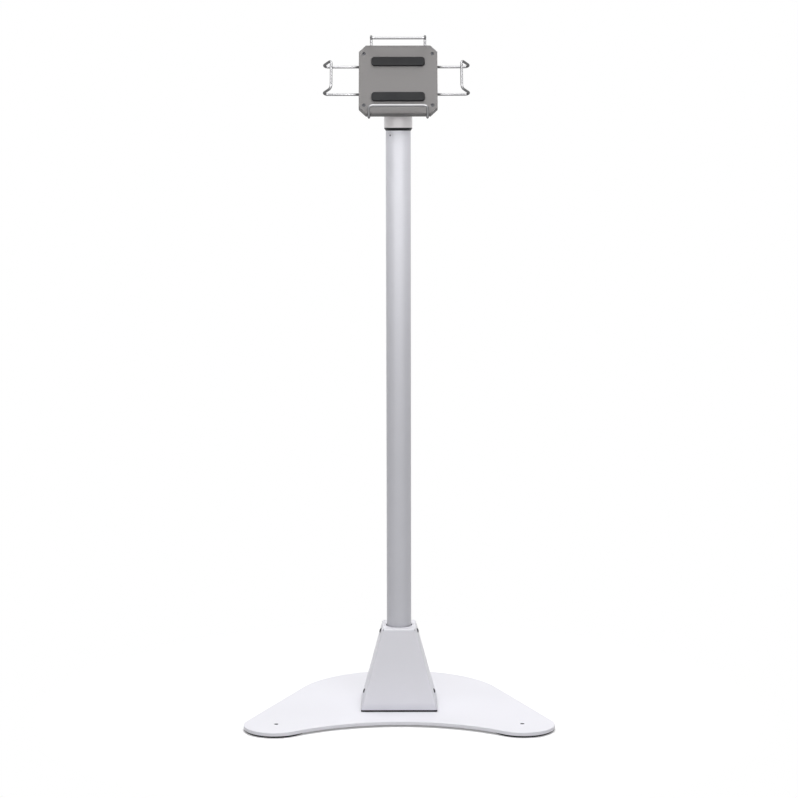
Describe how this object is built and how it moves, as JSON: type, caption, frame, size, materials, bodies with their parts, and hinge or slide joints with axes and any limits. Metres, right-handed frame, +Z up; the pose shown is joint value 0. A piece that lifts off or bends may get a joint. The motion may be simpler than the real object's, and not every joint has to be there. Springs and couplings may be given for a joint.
{
  "type": "adjustable tablet floor stand",
  "caption": "Floor stand with a boomerang steel base, a round pole and a swivelling, tilting holder whose sliding wire arms hook around a tablet.",
  "frame": {"origin": "on the floor, under the middle of the base plate's box", "axes": "+Z up along the pole, +Y from the user's side to the rear, +X to the right as the user sees it"},
  "size_m": [0.496, 0.397, 1.097],
  "materials": {
    "white_paint": "fine satin powder coat",
    "white_sheet": "satin powder coat on folded sheet",
    "silver_paint": "silver-grey metallic coat",
    "silver_collar": "satin machined",
    "dark_steel": "mill finish, hidden",
    "zinc_steel": "zinc plated",
    "dark_screw": "black oxide",
    "black_nylon": "matt moulded",
    "black_rubber": "matt",
    "grey_shell": "fine-grained moulded",
    "grey_cover": "fine-grained moulded",
    "chrome_wire": "bright chrome plated"
  },
  "bodies": {
    "base": {"base_plate": "white_paint", "base_feet": "black_rubber", "pole_flange": "dark_steel", "flange_washers": "zinc_steel", "flange_bolts": "zinc_steel", "pole_tube": "silver_paint", "shroud_seal": "black_rubber", "shroud_front": "white_sheet", "shroud_rear": "white_sheet", "shroud_clips": "white_sheet", "shroud_nuts": "zinc_steel", "shroud_screws": "dark_screw", "swivel_bushing": "black_nylon", "bushing_screw": "dark_screw"},
    "head": {"head_collar": "silver_collar", "swivel_retainer": "zinc_steel", "head_screw": "dark_screw", "post_dowel": "zinc_steel", "tilt_post": "silver_collar"},
    "tilt_frame": {"friction_washers": "black_nylon", "tilt_bracket": "silver_collar", "tilt_washers": "zinc_steel", "tilt_bolt": "dark_screw", "tilt_nut": "zinc_steel", "turn_disc": "black_nylon"},
    "holder": {"turn_bolt": "zinc_steel", "turn_washer": "zinc_steel", "turn_nut": "zinc_steel", "holder_shell": "grey_shell", "holder_cover": "grey_cover", "cover_screws": "dark_screw", "rest_pads": "black_rubber", "wire_guides": "black_nylon", "lock_screws": "dark_screw"},
    "top_arm": {"top_arm_wire": "chrome_wire", "top_arm_bar": "zinc_steel"},
    "bottom_arm": {"bottom_arm_wire": "chrome_wire", "bottom_arm_bar": "zinc_steel"},
    "left_arm": {"left_arm_wire": "chrome_wire", "left_arm_bar": "zinc_steel"},
    "right_arm": {"right_arm_wire": "chrome_wire", "right_arm_bar": "zinc_steel"}
  },
  "joints": [
    {"name": "head_swivel", "type": "hinge", "parent": "base", "child": "head", "pos_m": [0, -0.0205, 0.9514], "axis": [0, 0, 1], "continuous": true},
    {"name": "holder_tilt", "type": "hinge", "parent": "head", "child": "tilt_frame", "pos_m": [0, -0.0205, 1.0094], "axis": [-1, 0, 0], "range_deg": [-23, 37]},
    {"name": "holder_turn", "type": "hinge", "parent": "tilt_frame", "child": "holder", "pos_m": [0, -0.0205, 1.0094], "axis": [0, -0.9205, 0.3907], "range_deg": [-90, 90]},
    {"name": "top_arm_slide", "type": "slide", "parent": "holder", "child": "top_arm", "axis": [0, 0.3907, 0.9205], "range_m": [-0.008, 0.026]},
    {"name": "bottom_arm_slide", "type": "slide", "parent": "holder", "child": "bottom_arm", "axis": [0, -0.3907, -0.9205], "range_m": [0, 0.034]},
    {"name": "left_arm_slide", "type": "slide", "parent": "holder", "child": "left_arm", "axis": [-1, 0, 0], "range_m": [-0.0225, 0.0145]},
    {"name": "right_arm_slide", "type": "slide", "parent": "holder", "child": "right_arm", "axis": [1, 0, 0], "range_m": [-0.017, 0.02]}
  ]
}
